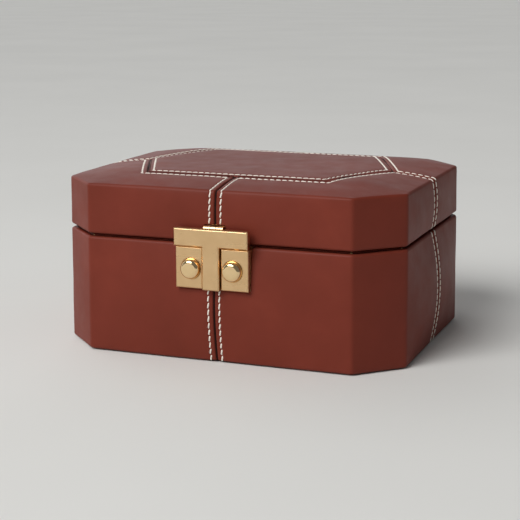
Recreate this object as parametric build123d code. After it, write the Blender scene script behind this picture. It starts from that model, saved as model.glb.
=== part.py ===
"""Octagonal leather jewellery case: a padded, stitched box with a hinged lid, a lift-out ring tray,
a mirror inside the lid and a brass T-hasp lock with two push buttons.

Frame: +Z up, +Y to the back, origin on the surface that the case stands on, at the middle of the case.
Each separate physical piece is written to its own STEP file, in millimetres.
"""
from build123d import *
import os

os.makedirs("parts", exist_ok=True)

# ---- case: driving dimensions ----
WIDTH = 230.0            # outside, left to right, between the upright corner edges
DEPTH = 184.0            # outside, front to back
CORNER = 27.0            # how much each corner is cut off, along X and along Y
COVER = 4.0              # leather with its foam padding
WALL = 6.0               # wooden wall boards
LINING = 2.0             # card covered with suede
SEAM = 1.0               # open gap between two leather panels
SEAM_PLAY = 0.05         # from a panel to the strip in its seam
SEAM_DEPTH = 0.8         # how deep that strip lies
EDGE = 1.5               # bevel of the leather at the rims and along the bottom

BASE_BOTTOM = 0.8
BASE_TOP = 74.6          # leather rim of the base
LID_BOTTOM = 76.6        # leather rim of the lid
LID_TOP = 108.9          # upper edge of the lid's walls
BASE_BULGE = 4.2         # how far the padded walls swell at mid-height
LID_BULGE = 1.4
ARC_LEAST = 0.02         # swelling left where a side is straight
CORNER_BULGE = 0.2       # share of that swelling on the narrow corner walls
CROWN = [(0.0, 0.0), (13.0, 2.0), (27.0, 4.1), (44.0, 5.8)]  # inset from the upper edge, height above it

UNDERLAY = 1.2           # suede sheet that the case stands on
BOARD = 5.0              # floor board and lid board
SPLIT = 75.6             # height of the plane between lid and base
RIM_GAP = 0.4            # from that plane to each wooden rim
LINING_GAP = 0.3         # from that plane to each lining

# ---- hexagonal panel in the lid's top ----
HEX_POINT = 87.2         # centre to its left and right points
HEX_CORNER_X = 61.2
HEX_CORNER_Y = 59.3

# ---- hinges ----
HINGE_X = 62.0
HINGE_LENGTH = 36.0
BARREL_R = 2.6
PIN_R = 1.2
RUNNING = 0.05           # radial clearance of pins, shafts and screws
KNUCKLE_GAP = 0.15       # along the barrel, on each side of a joint between knuckles
LEAF = 1.2
LEAF_GAP = 0.1           # from the split plane to each leaf
SCREW_HEAD_R = 1.7
SCREW_R = 0.9
SCREW_LENGTH = 8.0

# ---- lock on the base ----
LOCK_WIDTH = 48.4
LOCK_BOTTOM = 48.0
LOCK_TOP = 74.2
CASE_FACE = 95.9         # front plane of the lock case, behind the two plates, in front of the middle
PLATE_FACE = 99.2        # front plane of the two plates
CASE_WALL = 1.4
CASE_BACK = 1.2
STEM = 11.2              # width of the hasp's upright
STEM_GAP = 0.4
BUTTON_X = 13.8
BUTTON_Z = 60.5
BUTTON_R = 6.6
BUTTON_EDGE = 99.4       # where the dome starts
BUTTON_CROWN = 103.2
BUTTON_FLAT = 3.8        # radius of the flat middle of the dome
BUTTON_BACK = 98.4
WEB = 0.8                # plate left behind the button's counterbore
SHAFT_R = 2.0
COLLAR_R = 3.0
TIP_R = 1.2
CONE_FRONT = 95.2        # the 45 degree cone runs from here to the tip

# ---- bolts in the lock ----
BOLT_FRONT = 94.8
BOLT_THICK = 1.4
BOLT_NOSE = 2.9
BOLT_END = 19.0
BOLT_HALF_HEIGHT = 5.2
BOLT_WINDOW_X = 9.0
BOLT_WINDOW_HALF = 3.3
SLIDE_GAP = 0.1
RAIL = 1.7
SPRING_R = 1.4
SPRING_WIRE_R = 0.25
SPRING_TURNS = 3

# ---- hasp on the lid ----
BAR_WIDTH = 49.0
BAR_BOTTOM = 74.7
BAR_TOP = 86.0
HASP_FACE = 101.5
BAR_BACK = 96.9
STEM_BACK = 96.2
HASP_BEVEL = 0.7
HASP_AXIS_Y = 94.6
HASP_AXIS_Z = 85.2
HASP_KNUCKLE_R = 2.1
HASP_KNUCKLE = 4.5
HASP_MIDDLE = 3.8
HASP_PIN_R = 0.9
TONGUE = 5.6
TONGUE_TIP = 93.2
TONGUE_HALF_HEIGHT = 3.0
BRACKET_X = 15.0
BRACKET_THICK = 1.5
BRACKET_Z = (80.6, 90.0)

# ---- lift-out tray ----
TRAY_BOTTOM = 46.0
TRAY_TOP = 73.5
TRAY_WALL = 3.0
TRAY_FLOOR = 2.5
TRAY_PLAY = 1.3          # clearance to the lining
TRAY_SPLIT_Y = -12.0     # long divider, with the ring rolls in front of it
CROSS_X = 34.0           # cross dividers behind it
DIVIDER = 3.0
DIVIDER_TOP = 70.5
ROLL_COUNT = 4
ROLL_R = 6.6
ROLL_PITCH = 15.2
ROLL_LENGTH = 104.0
ROLL_HEIGHT = 17.0
TAB_WIDTH = 16.0
TAB_THICK = 1.0
TAB_Z = (60.0, 75.3)

# ---- compartments under the tray ----
LOW_DIVIDER_X = 36.0
LEDGE = 4.0
LEDGE_LENGTH = 96.0

# ---- mirror ----
MIRROR_X = 150.0
MIRROR_Y = 104.0
MIRROR_CORNER = 16.0
MIRROR = 3.0
MIRROR_PROUD = 0.5
MIRROR_PLAY = 0.2

FRONT = DEPTH / 2 - COVER            # outside of the wooden front and back walls
HINGE_Y = DEPTH / 2 + 3.0
LEAF_FRONT = FRONT - WALL + 0.6
ROOM = COVER + WALL + LINING         # from the outside to the inner room
FLOOR_TOP = UNDERLAY + BOARD + LINING
LID_BOARD_TOP = LID_TOP - COVER
LID_BOARD_BOTTOM = LID_BOARD_TOP - BOARD
PANEL = 3.0                          # lining panel under the lid board
TRAY_INSET = ROOM + TRAY_PLAY
CASE_BACK_Y = FRONT                  # the lock case lies against the wooden front wall
QUARTERS = [("front_left", -1, -1), ("front_right", 1, -1), ("back_left", -1, 1), ("back_right", 1, 1)]


def save(shape, name):
    """Writes one named piece."""
    export_step(shape, f"parts/{name}.step")


def group(*shapes):
    """Several separate solids that share one node."""
    return Compound(children=[solid for shape in shapes for solid in shape.solids()])


def block(x0, x1, y0, y1, z0, z1):
    """A plain block between two corners."""
    return Pos((x0 + x1) / 2, (y0 + y1) / 2, (z0 + z1) / 2) * Box(x1 - x0, y1 - y0, z1 - z0)


def rod(radius, start, end):
    """A round bar from one point to another."""
    direction = Vector(*end) - Vector(*start)
    place = Plane(origin=start, z_dir=direction.normalized())
    return place * Cylinder(radius, direction.length, align=(Align.CENTER, Align.CENTER, Align.MIN))


def left_and_right(shape):
    """A shape and its mirror image across the middle of the case."""
    return [mirror(shape, about=Plane.YZ), shape]


# ---- octagonal shapes ----
def octagon_points(inset):
    """Corners of the outline moved inwards by inset, anticlockwise from the left end of the front."""
    half_x, half_y = WIDTH / 2 - inset, DEPTH / 2 - inset
    cut = CORNER - inset * (2 - 2 ** 0.5)
    return [(-half_x + cut, -half_y), (half_x - cut, -half_y), (half_x, -half_y + cut), (half_x, half_y - cut),
            (half_x - cut, half_y), (-half_x + cut, half_y), (-half_x, half_y - cut), (-half_x, -half_y + cut)]


def octagon_wire(inset, z, bulge=0.0):
    """The outline at height z with its eight sides as arcs that swell by bulge, less on the corners."""
    points = [Vector(x, y, z) for x, y in octagon_points(inset)]
    edges = []
    for i, start in enumerate(points):
        end = points[(i + 1) % len(points)]
        swell = max(bulge if i % 2 == 0 else bulge * CORNER_BULGE, ARC_LEAST)
        along = (end - start).normalized()
        outward = Vector(along.Y, -along.X, 0)
        edges.append(Edge.make_three_point_arc(start, (start + end) * 0.5 + outward * swell, end))
    return Wire(edges)


def prism(inset, z0, z1):
    """An upright octagonal block with plane sides."""
    outline = Polyline(*octagon_points(inset), close=True)
    return extrude(Plane.XY.offset(z0) * make_face(outline), amount=z1 - z0)


def frustum(low, high):
    """A block between two octagons, each given as (inset, z)."""
    return Solid.make_loft([octagon_wire(*low), octagon_wire(*high)], True)


def padded_walls(z0, z1, bulge, inset=0.0):
    """The swelling envelope of one half of the case, with bevelled rims. Its upright corner edges stay straight."""
    low, high = z0 + EDGE, z1 - EDGE
    sections = 4
    wires = []
    for i in range(sections + 1):
        t = i / sections
        wires.append(octagon_wire(inset, low + (high - low) * t, bulge * (1 - (2 * t - 1) ** 2)))
    body = Solid.make_loft(wires, False)
    return frustum((inset + EDGE, z0), (inset, low)) + body + frustum((inset, high), (inset + EDGE, z1))


def lid_envelope(drop=0.0):
    """Walls and crowned top of the lid. drop sinks every outer face by that much."""
    body = padded_walls(LID_BOTTOM + drop, LID_TOP - drop, LID_BULGE, drop)
    steps = [(EDGE + drop + inset, LID_TOP - drop + height) for inset, height in CROWN]
    for low, high in zip(steps, steps[1:]):
        body += frustum(low, high)
    return body


def hexagon(margin, z0, z1):
    """An upright block with the outline of the lid's top panel, larger by margin."""
    flank = ((HEX_POINT - HEX_CORNER_X) ** 2 + HEX_CORNER_Y ** 2) ** 0.5
    point = HEX_POINT + margin * flank / HEX_CORNER_Y
    corner_y = HEX_CORNER_Y + margin
    corner_x = point - corner_y * (HEX_POINT - HEX_CORNER_X) / HEX_CORNER_Y
    outline = Polyline((-point, 0), (-corner_x, -corner_y), (corner_x, -corner_y),
                       (point, 0), (corner_x, corner_y), (-corner_x, corner_y), close=True)
    return extrude(Plane.XY.offset(z0) * make_face(outline), amount=z1 - z0)


def seam_cross(width):
    """Two crossing slabs that part a cover into its four quarters."""
    half = width / 2
    return block(-half, half, -DEPTH, DEPTH, -1, 130) + block(-WIDTH, WIDTH, -half, half, -1, 130)


def quarter(shape, side_x, side_y):
    """The part of a shape in one quarter of the plan, up to the seams."""
    x0, x1 = sorted((side_x * SEAM / 2, side_x * WIDTH))
    y0, y1 = sorted((side_y * SEAM / 2, side_y * DEPTH))
    return shape & block(x0, x1, y0, y1, -1, 130)


def ring_boards(inset, thickness, z0, z1):
    """Eight mitred boards round the case, in the order of octagon_points."""
    outer, inner = octagon_points(inset), octagon_points(inset + thickness)
    boards = []
    for i in range(8):
        j = (i + 1) % 8
        outline = Polyline(outer[i], outer[j], inner[j], inner[i], close=True)
        boards.append(extrude(Plane.XY.offset(z0) * make_face(outline), amount=z1 - z0))
    return boards


# ---- screws ----
def wood_screw(x, y, top, grow=0.0):
    """A countersunk screw that points down from the height top, larger by grow."""
    head = Pos(x, y, top - LEAF / 2) * Cone(SCREW_R + grow, SCREW_HEAD_R + grow, LEAF)
    shank = rod(SCREW_R + grow, (x, y, top - SCREW_LENGTH - grow), (x, y, top - LEAF / 2))
    screw = head + shank
    if grow:
        screw += rod(SCREW_HEAD_R + grow, (x, y, top), (x, y, top + 1))
    return screw


def hinge_screws(grow=0.0):
    """The four screws of both hinges that go into the base."""
    y = (LEAF_FRONT + FRONT) / 2
    places = [s * HINGE_X + e * HINGE_LENGTH / 3 for s in (-1, 1) for e in (-1, 1)]
    return [wood_screw(x, y, SPLIT - LEAF_GAP, grow) for x in places]


def to_lid(shape):
    """A piece of the base turned upside down about the split plane."""
    return mirror(shape, about=Plane.XY.offset(SPLIT))


def lock_screws(grow=0.0):
    """Two round-headed screws through the back of the lock case."""
    inside = CASE_BACK_Y + CASE_BACK
    screws = []
    for z in (LOCK_BOTTOM + 3.6, LOCK_TOP - 3.6):
        head = rod(SCREW_HEAD_R, (0, -inside - 1.0, z), (0, -inside, z))
        screws.append(head + rod(SCREW_R + grow, (0, -inside, z), (0, -inside + 6.0 + grow, z)))
    return screws


def bracket_screws(grow=0.0):
    """Two screws that hold the hasp's bracket to the front of the lid."""
    face = FRONT + BRACKET_THICK
    screws = []
    for x in (-BRACKET_X + 3.5, BRACKET_X - 3.5):
        head = rod(SCREW_HEAD_R, (x, -face - 0.8, HASP_AXIS_Z), (x, -face, HASP_AXIS_Z))
        screws.append(head + rod(SCREW_R + grow, (x, -face, HASP_AXIS_Z), (x, -face + 5.5 + grow, HASP_AXIS_Z)))
    return screws


# ---- openings through the leather and the wood for the metal pieces ----
def hinge_notches():
    """Room for the two hinges in both rims."""
    wood = []
    leather = []
    for s in (-1, 1):
        x0, x1 = s * HINGE_X - HINGE_LENGTH / 2 - 0.1, s * HINGE_X + HINGE_LENGTH / 2 + 0.1
        low, high = SPLIT - LEAF_GAP - LEAF, SPLIT + LEAF_GAP + LEAF
        wood.append(block(x0, x1, LEAF_FRONT - 0.1, FRONT + 0.5, low, high))
        leather.append(block(x0 - 0.4, x1 + 0.4, FRONT - 0.2, HINGE_Y + 4, low - 0.3, high + 0.3))
    return wood, leather


def lock_window():
    """Hole in the base's leather for the lock case."""
    x = LOCK_WIDTH / 2 + 0.2
    return block(-x, x, -DEPTH, -FRONT, LOCK_BOTTOM - 0.2, BASE_TOP + 1)


def bracket_pocket():
    """Pocket behind the lid's leather for the hasp's bracket, and a hole in front of it for the knuckles."""
    x = BRACKET_X + 0.2
    pocket = block(-x, x, -FRONT - BRACKET_THICK - 0.9, -FRONT, BRACKET_Z[0] - 0.2, BRACKET_Z[1] + 0.2)
    hole_x = HASP_MIDDLE / 2 + KNUCKLE_GAP + HASP_KNUCKLE + 0.3
    low, high = HASP_AXIS_Z - HASP_KNUCKLE_R - 0.3, HASP_AXIS_Z + HASP_KNUCKLE_R + 0.3
    return pocket + block(-hole_x, hole_x, -DEPTH, -FRONT - 0.5, low, high)


# ---- base ----
def make_base():
    """Floor, walls, lining and inner fittings of the base."""
    wood_notches, _ = hinge_notches()
    rim = SPLIT - RIM_GAP
    boards = ring_boards(COVER, WALL, UNDERLAY, rim)
    names = {0: "front", 2: "right", 4: "back", 6: "left"}
    for i, name in names.items():
        board = boards[i]
        if name == "back":
            for notch in wood_notches + hinge_screws(RUNNING):
                board -= notch
        if name == "front":
            for hole in lock_screws(RUNNING):
                board -= hole
        save(board, f"base_wall_{name}")
    save(group(*boards[1::2]), "base_corner_walls")
    save(prism(COVER + WALL, UNDERLAY, UNDERLAY + BOARD), "base_board")
    save(prism(COVER, 0, UNDERLAY), "base_underlay")
    save(group(*ring_boards(COVER + WALL, LINING, UNDERLAY + BOARD, SPLIT - LINING_GAP)), "base_lining_walls")
    save(prism(ROOM, UNDERLAY + BOARD, FLOOR_TOP), "base_lining_floor")
    half_y = DEPTH / 2 - ROOM
    divider = block(LOW_DIVIDER_X - DIVIDER / 2, LOW_DIVIDER_X + DIVIDER / 2, -half_y, half_y,
                    FLOOR_TOP, TRAY_BOTTOM - 0.5)
    for side, shape in zip(("left", "right"), left_and_right(divider)):
        save(shape, f"base_divider_{side}")
    half_x = WIDTH / 2 - ROOM
    ledge = block(half_x - LEDGE, half_x, -LEDGE_LENGTH / 2, LEDGE_LENGTH / 2, FLOOR_TOP, TRAY_BOTTOM)
    save(group(*left_and_right(ledge)), "tray_ledges")


def make_base_cover():
    """Padded leather of the base in four quarters, and the strip in the seams between them."""
    _, leather_notches = hinge_notches()
    cover = padded_walls(BASE_BOTTOM, BASE_TOP, BASE_BULGE) - prism(COVER, -5, SPLIT + 5) - lock_window()
    for notch in leather_notches:
        cover -= notch
    for name, x, y in QUARTERS:
        save(quarter(cover, x, y), f"base_cover_{name}")
    drop = SEAM_DEPTH
    strip = padded_walls(BASE_BOTTOM + drop, BASE_TOP - drop, BASE_BULGE, drop) - prism(COVER, -5, SPLIT + 5)
    strip = (strip - lock_window()) & seam_cross(SEAM - 2 * SEAM_PLAY)
    save(group(strip), "base_seam_strips")


# ---- lid ----
def make_lid():
    """Boards and lining of the lid, and the mirror."""
    wood_notches, _ = hinge_notches()
    rim = SPLIT + RIM_GAP
    boards = ring_boards(COVER, WALL, rim, LID_BOARD_TOP)
    for i, name in {0: "front", 2: "right", 4: "back", 6: "left"}.items():
        board = boards[i]
        if name == "back":
            for notch in wood_notches + [to_lid(hole) for hole in hinge_screws(RUNNING)]:
                board -= notch
        if name == "front":
            for hole in bracket_screws(RUNNING):
                board -= hole
        save(board, f"lid_wall_{name}")
    save(group(*boards[1::2]), "lid_corner_walls")
    save(prism(COVER + WALL, LID_BOARD_BOTTOM, LID_BOARD_TOP), "lid_top_board")
    save(group(*ring_boards(COVER + WALL, LINING, SPLIT + LINING_GAP, LID_BOARD_BOTTOM - PANEL)),
         "lid_lining_walls")
    mirror_z = LID_BOARD_BOTTOM - PANEL - MIRROR_PROUD
    recess = mirror_glass(MIRROR_PLAY, mirror_z, mirror_z + MIRROR)
    save(prism(COVER + WALL, LID_BOARD_BOTTOM - PANEL, LID_BOARD_BOTTOM) - recess, "lid_lining_panel")
    save(mirror_glass(0, mirror_z, mirror_z + MIRROR), "mirror")


def mirror_glass(grow, z0, z1):
    """An upright block with the outline of the mirror, larger by grow."""
    x, y, cut = MIRROR_X / 2 + grow, MIRROR_Y / 2 + grow, MIRROR_CORNER + grow * (2 - 2 ** 0.5)
    outline = Polyline((-x + cut, -y), (x - cut, -y), (x, -y + cut), (x, y - cut),
                       (x - cut, y), (-x + cut, y), (-x, y - cut), (-x, -y + cut), close=True)
    return extrude(Plane.XY.offset(z0) * make_face(outline), amount=z1 - z0)


def make_lid_cover():
    """Padded leather of the lid: four quarters round a hexagonal panel, and the strip in their seams."""
    _, leather_notches = hinge_notches()
    inside = prism(COVER, SPLIT - 5, LID_BOARD_TOP)
    cover = lid_envelope() - inside - bracket_pocket()
    for notch in leather_notches:
        cover -= notch
    top = 130
    save(cover & hexagon(-SEAM / 2, LID_BOARD_TOP, top), "lid_top_panel")
    sides = cover - hexagon(SEAM / 2, LID_BOARD_TOP - 1, top)
    for name, x, y in QUARTERS:
        save(quarter(sides, x, y), f"lid_cover_{name}")
    half = SEAM / 2 - SEAM_PLAY
    filled = lid_envelope(SEAM_DEPTH) - inside - bracket_pocket()
    loop = filled & (hexagon(half, LID_BOARD_TOP, top) - hexagon(-half, LID_BOARD_TOP, top))
    arms = (filled & seam_cross(2 * half)) - hexagon(-half, LID_BOARD_TOP, top)
    save(group(loop + arms), "lid_seam_strips")


# ---- case hinges ----
def hinge_half(knuckles):
    """A leaf under the split plane with knuckles over the given stretches along the hinge, still without bores."""
    low, high = SPLIT - LEAF_GAP - LEAF, SPLIT - LEAF_GAP
    half = HINGE_LENGTH / 2
    leaf = block(-half, half, LEAF_FRONT, HINGE_Y - BARREL_R - 0.4, low, high)
    for x0, x1 in knuckles:
        leaf += block(x0, x1, HINGE_Y - BARREL_R - 1, HINGE_Y, low, high)
        leaf += rod(BARREL_R, (x0, HINGE_Y, SPLIT), (x1, HINGE_Y, SPLIT))
    return leaf - rod(PIN_R + RUNNING, (-half - 1, HINGE_Y, SPLIT), (half + 1, HINGE_Y, SPLIT))


def make_hinges():
    """Two butt hinges, let into both rims at the back."""
    half, third = HINGE_LENGTH / 2, HINGE_LENGTH / 6
    base_half = hinge_half([(-half, -third - KNUCKLE_GAP / 2), (third + KNUCKLE_GAP / 2, half)])
    lid_half = to_lid(hinge_half([(-third + KNUCKLE_GAP / 2, third - KNUCKLE_GAP / 2)]))
    screws = hinge_screws()
    holes = hinge_screws(RUNNING)
    pins = []
    for name, s in (("left", -1), ("right", 1)):
        base_leaf, lid_leaf = Pos(s * HINGE_X, 0, 0) * base_half, Pos(s * HINGE_X, 0, 0) * lid_half
        for hole in holes:
            base_leaf -= hole
            lid_leaf -= to_lid(hole)
        save(base_leaf, f"hinge_leaf_base_{name}")
        save(lid_leaf, f"hinge_leaf_lid_{name}")
        pins.append(rod(PIN_R, (s * HINGE_X - half, HINGE_Y, SPLIT), (s * HINGE_X + half, HINGE_Y, SPLIT)))
    save(group(*pins), "hinge_pins")
    save(group(*screws), "hinge_screws_base")
    save(group(*[to_lid(screw) for screw in screws]), "hinge_screws_lid")


# ---- lock ----
def make_lock_case():
    """A shallow brass tray behind the two plates, open in front, with grooved rails for the bolts."""
    x = LOCK_WIDTH / 2
    case = block(-x, x, -CASE_FACE, -CASE_BACK_Y, LOCK_BOTTOM, LOCK_TOP)
    inner_x, back = x - CASE_WALL, CASE_BACK_Y + CASE_BACK
    low, high = LOCK_BOTTOM + CASE_WALL, LOCK_TOP - CASE_WALL
    case -= block(-inner_x, inner_x, -CASE_FACE - 1, -back, low, high)
    groove = (-BOLT_FRONT - SLIDE_GAP, -BOLT_FRONT + BOLT_THICK + SLIDE_GAP)
    edge = BOLT_HALF_HEIGHT + SLIDE_GAP
    rails = []
    for s in (-1, 1):
        z0, z1 = sorted((BUTTON_Z + s * (edge - 0.8), BUTTON_Z + s * (edge + RAIL)))
        rail = block(BOLT_NOSE + 0.6, inner_x + 0.1, -CASE_FACE + 0.1, -back + 0.1, z0, z1)
        g0, g1 = sorted((BUTTON_Z + s * (edge - 2), BUTTON_Z + s * edge))
        rails += left_and_right(rail - block(0, inner_x, *groove, g0, g1))
    for rail in rails:
        case += rail
    for screw in lock_screws(RUNNING):
        case -= screw
    save(case, "lock_case")
    save(group(*lock_screws()), "lock_case_screws")


def make_lock_plates():
    """The two front plates, each with a counterbore for its button."""
    x0, x1 = STEM / 2 + STEM_GAP, LOCK_WIDTH / 2
    plate = block(x0, x1, -PLATE_FACE, -CASE_FACE, LOCK_BOTTOM, LOCK_TOP)
    plate = chamfer(plate.faces().sort_by(Axis.Y)[0].edges(), HASP_BEVEL)
    place = (BUTTON_X, -CASE_FACE - WEB, BUTTON_Z)
    plate -= rod(BUTTON_R + 0.1, place, (BUTTON_X, -PLATE_FACE - 1, BUTTON_Z))
    plate -= rod(SHAFT_R + RUNNING, (BUTTON_X, -CASE_FACE + 1, BUTTON_Z), (BUTTON_X, -PLATE_FACE - 1, BUTTON_Z))
    for side, shape in zip(("left", "right"), left_and_right(plate)):
        save(shape, f"lock_plate_{side}")


def make_buttons():
    """Domed push buttons. A collar keeps each one behind its plate and a cone on the inner end moves its bolt."""
    cone_end = CONE_FRONT - (COLLAR_R - TIP_R)
    collar_front = CASE_FACE - 0.1
    shoulder_r = BUTTON_FLAT + (BUTTON_R - BUTTON_FLAT) * 0.62
    shoulder_y = BUTTON_EDGE + (BUTTON_CROWN - BUTTON_EDGE) * 0.70
    dome = ThreePointArc((BUTTON_FLAT, -BUTTON_CROWN), (shoulder_r, -shoulder_y), (BUTTON_R, -BUTTON_EDGE))
    rest = Polyline((BUTTON_R, -BUTTON_EDGE), (BUTTON_R, -BUTTON_BACK), (SHAFT_R, -BUTTON_BACK),
                    (SHAFT_R, -collar_front), (COLLAR_R, -collar_front), (COLLAR_R, -CONE_FRONT),
                    (TIP_R, -cone_end), (TIP_R, -cone_end + 2.2), (0, -cone_end + 2.2),
                    (0, -BUTTON_CROWN), (BUTTON_FLAT, -BUTTON_CROWN))
    profile = make_face(dome.edges() + rest.edges())
    button = Pos(BUTTON_X, 0, BUTTON_Z) * revolve(profile, Axis.Y)
    for side, shape in zip(("left", "right"), left_and_right(button)):
        save(shape, f"button_{side}")


def make_bolts():
    """Two sliding bolts with a ramped window round each button's cone, and the springs that close them."""
    front, back = -BOLT_FRONT, -BOLT_FRONT + BOLT_THICK
    cone_end = -CONE_FRONT + (COLLAR_R - TIP_R)
    ramp_x = BUTTON_X + TIP_R + RUNNING
    bolt = block(BOLT_NOSE, BOLT_END, front, back, BUTTON_Z - BOLT_HALF_HEIGHT, BUTTON_Z + BOLT_HALF_HEIGHT)
    more = 0.2
    outline = Polyline((BOLT_WINDOW_X, front - more), (ramp_x + cone_end - front + more, front - more),
                       (ramp_x + cone_end - back - more, back + more), (BOLT_WINDOW_X, back + more), close=True)
    window = extrude(Plane.XY.offset(BUTTON_Z - BOLT_WINDOW_HALF) * make_face(outline),
                     amount=2 * BOLT_WINDOW_HALF)
    bolt -= window
    start, length = BOLT_END + SPRING_WIRE_R, LOCK_WIDTH / 2 - CASE_WALL - BOLT_END - 2 * SPRING_WIRE_R
    helix = Helix(pitch=length / SPRING_TURNS, height=length, radius=SPRING_R)
    coil = sweep(Plane(origin=helix @ 0, z_dir=helix % 0) * Circle(SPRING_WIRE_R), path=helix, is_frenet=True)
    spring = Pos(start, (front + back) / 2, BUTTON_Z) * Rot(0, 90, 0) * coil
    for side, moved, coiled in zip(("left", "right"), left_and_right(bolt), left_and_right(spring)):
        save(moved, f"latch_bolt_{side}")
        save(coiled, f"bolt_spring_{side}")


# ---- hasp ----
def make_hasp():
    """The T-shaped hasp with its tongue, pin and bracket."""
    bar = block(-BAR_WIDTH / 2, BAR_WIDTH / 2, -HASP_FACE, -BAR_BACK, BAR_BOTTOM, BAR_TOP)
    stem = block(-STEM / 2, STEM / 2, -HASP_FACE, -STEM_BACK, LOCK_BOTTOM - 0.2, BAR_BOTTOM + 1)
    plate = bar + stem
    plate = chamfer(plate.faces().sort_by(Axis.Y)[0].edges(), HASP_BEVEL)
    half = HASP_MIDDLE / 2

    def axis(x):
        return (x, -HASP_AXIS_Y, HASP_AXIS_Z)

    plate += rod(HASP_KNUCKLE_R, axis(-half), axis(half))
    plate += block(-half, half, -BAR_BACK - 1, -HASP_AXIS_Y, HASP_AXIS_Z - 1.6, HASP_AXIS_Z - 0.2)
    outer = half + KNUCKLE_GAP + HASP_KNUCKLE
    bore = rod(HASP_PIN_R + RUNNING, axis(-outer - 1), axis(outer + 1))
    save(plate - bore, "hasp_plate")
    tongue = block(-TONGUE / 2, TONGUE / 2, -STEM_BACK, -TONGUE_TIP,
                   BUTTON_Z - TONGUE_HALF_HEIGHT, BUTTON_Z + TONGUE_HALF_HEIGHT)
    save(tongue, "hasp_tongue")
    bracket = block(-BRACKET_X, BRACKET_X, -FRONT - BRACKET_THICK, -FRONT, *BRACKET_Z)
    for x0, x1 in ((-outer, -half - KNUCKLE_GAP), (half + KNUCKLE_GAP, outer)):
        bracket += rod(HASP_KNUCKLE_R, axis(x0), axis(x1))
        bracket += block(x0, x1, -HASP_AXIS_Y, -FRONT - BRACKET_THICK / 2, HASP_AXIS_Z - 1.6, HASP_AXIS_Z + 1.6)
    bracket -= bore
    for screw in bracket_screws(RUNNING):
        bracket -= screw
    save(bracket, "hasp_bracket")
    save(rod(HASP_PIN_R, axis(-outer), axis(outer)), "hasp_hinge_pin")
    save(group(*bracket_screws()), "hasp_bracket_screws")


# ---- tray ----
def make_tray():
    """The lift-out tray: mitred walls, floor, dividers, ring rolls and two ribbon tabs to lift it by."""
    save(group(*ring_boards(TRAY_INSET, TRAY_WALL, TRAY_BOTTOM, TRAY_TOP)), "tray_frame")
    inside = TRAY_INSET + TRAY_WALL
    floor_top = TRAY_BOTTOM + TRAY_FLOOR
    save(prism(inside, TRAY_BOTTOM, floor_top), "tray_floor")
    half_x, half_y, half = WIDTH / 2 - inside, DEPTH / 2 - inside, DIVIDER / 2
    y0, y1 = TRAY_SPLIT_Y - half, TRAY_SPLIT_Y + half
    save(block(-half_x, half_x, y0, y1, floor_top, DIVIDER_TOP), "tray_divider_long")
    rear = [block(s * CROSS_X - half, s * CROSS_X + half, y1, half_y, floor_top, DIVIDER_TOP) for s in (-1, 1)]
    x = ROLL_LENGTH / 2 + half + 0.3
    near = [block(s * x - half, s * x + half, -half_y, y0, floor_top, DIVIDER_TOP) for s in (-1, 1)]
    save(group(*rear, *near), "tray_dividers_cross")
    rolls = []
    middle = (y0 - half_y) / 2
    for i in range(ROLL_COUNT):
        y = middle + (i - (ROLL_COUNT - 1) / 2) * ROLL_PITCH
        centre = floor_top + ROLL_HEIGHT - ROLL_R
        foot = block(-ROLL_LENGTH / 2, ROLL_LENGTH / 2, y - ROLL_R, y + ROLL_R, floor_top, centre)
        rolls.append(foot + rod(ROLL_R, (-ROLL_LENGTH / 2, y, centre), (ROLL_LENGTH / 2, y, centre)))
    save(group(*rolls), "ring_rolls")
    tab = block(half_x - TAB_THICK, half_x, -TAB_WIDTH / 2, TAB_WIDTH / 2, *TAB_Z)
    tab -= block(half_x - TAB_THICK, half_x, y0, y1, floor_top, DIVIDER_TOP)
    save(group(*left_and_right(tab)), "tray_pull_tabs")


make_base()
make_base_cover()
make_lid()
make_lid_cover()
make_hinges()
make_lock_case()
make_lock_plates()
make_buttons()
make_bolts()
make_hasp()
make_tray()
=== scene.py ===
"""Octagonal leather jewellery case: what shows on its solids, in metres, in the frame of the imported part.

+X runs along the front to the right, +Y from the clasp to the hinges, +Z up. Each padded leather panel is a
closed mesh that is laid round the case's outline; the stitches follow lines of the panels' own grids.
"""
import math

import bmesh
import bpy
import numpy as np
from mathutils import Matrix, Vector


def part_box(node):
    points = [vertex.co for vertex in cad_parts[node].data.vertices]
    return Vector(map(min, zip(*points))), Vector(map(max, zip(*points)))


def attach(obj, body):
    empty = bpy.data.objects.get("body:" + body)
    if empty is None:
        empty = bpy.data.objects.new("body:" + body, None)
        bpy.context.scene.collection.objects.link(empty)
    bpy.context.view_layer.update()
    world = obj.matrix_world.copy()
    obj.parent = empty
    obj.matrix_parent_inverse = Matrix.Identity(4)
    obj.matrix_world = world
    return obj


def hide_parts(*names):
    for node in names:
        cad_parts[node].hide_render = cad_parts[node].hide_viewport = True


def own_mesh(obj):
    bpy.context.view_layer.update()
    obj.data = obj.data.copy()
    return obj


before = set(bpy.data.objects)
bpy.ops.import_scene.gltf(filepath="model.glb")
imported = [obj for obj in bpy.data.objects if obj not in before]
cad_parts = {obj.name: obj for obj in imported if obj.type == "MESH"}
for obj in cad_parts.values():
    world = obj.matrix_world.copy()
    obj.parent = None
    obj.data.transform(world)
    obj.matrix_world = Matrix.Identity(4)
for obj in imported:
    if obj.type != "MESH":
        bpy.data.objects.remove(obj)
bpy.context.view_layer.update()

MM = 0.001

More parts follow.
